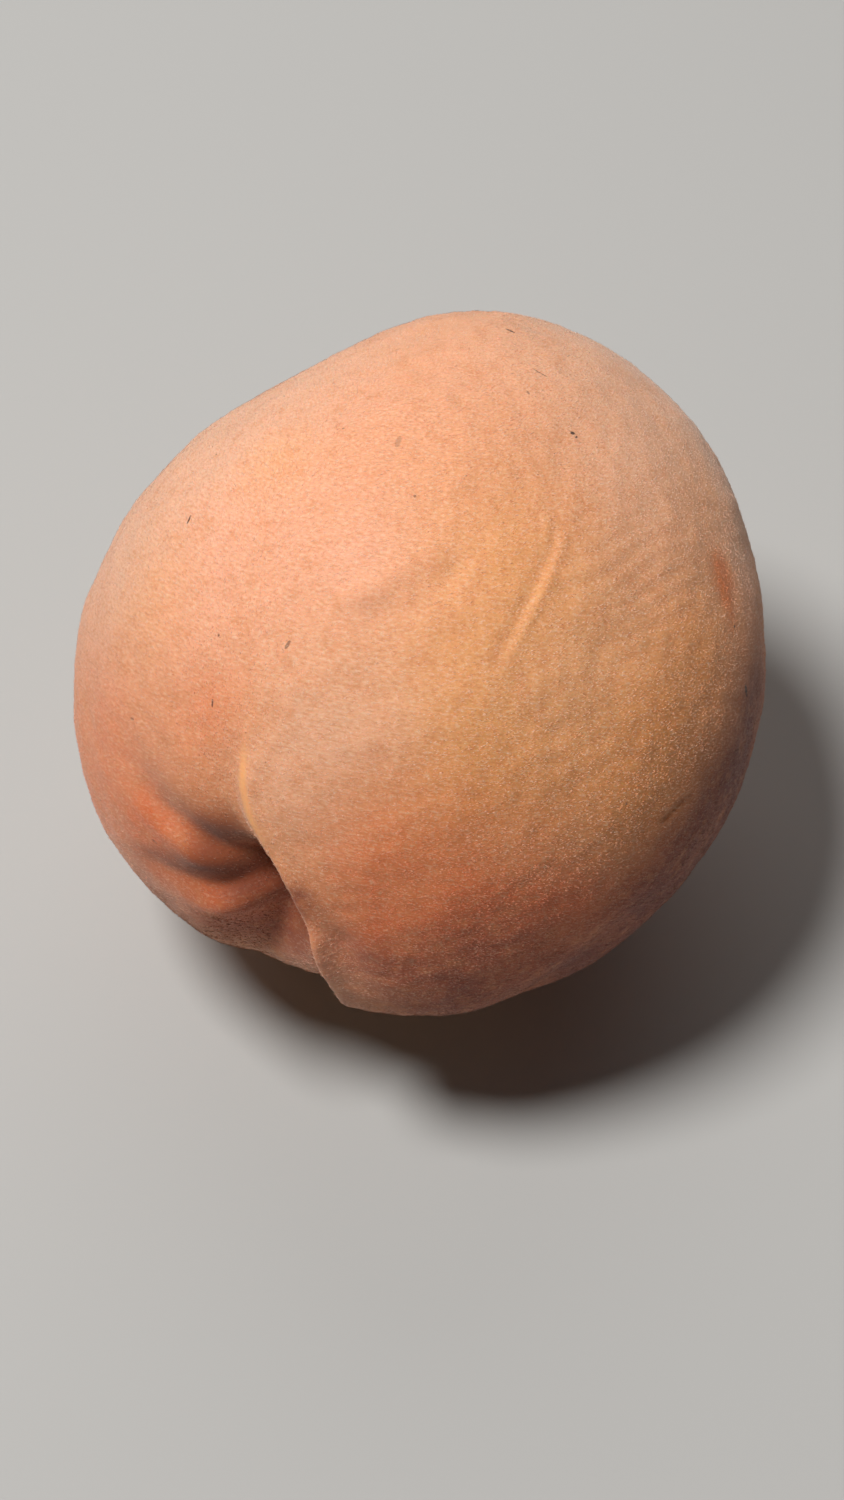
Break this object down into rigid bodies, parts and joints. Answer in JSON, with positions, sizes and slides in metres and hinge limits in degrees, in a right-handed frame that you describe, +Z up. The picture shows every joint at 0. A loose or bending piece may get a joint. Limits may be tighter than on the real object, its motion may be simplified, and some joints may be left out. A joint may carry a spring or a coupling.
{
  "type": "peach",
  "caption": "Whole ripe peach, as picked: rounded lobes, a deep crease with an overlapping lip, a stem cavity and a small flat spot to rest on.",
  "frame": {"origin": "middle of the fruit's outline seen from above, on the surface that it rests on", "axes": "+Z up, -Z out of the flat spot that it rests on, -Y towards the side where the crease runs down to the stem cavity, +X to the right seen from there"},
  "size_m": [0.0764, 0.0766, 0.0736],
  "materials": {
    "peach_skin": "soft matt orange-yellow skin with a blush, covered in fine pale fuzz"
  },
  "bodies": {
    "root": {"peach": "peach_skin"}
  },
  "joints": []
}
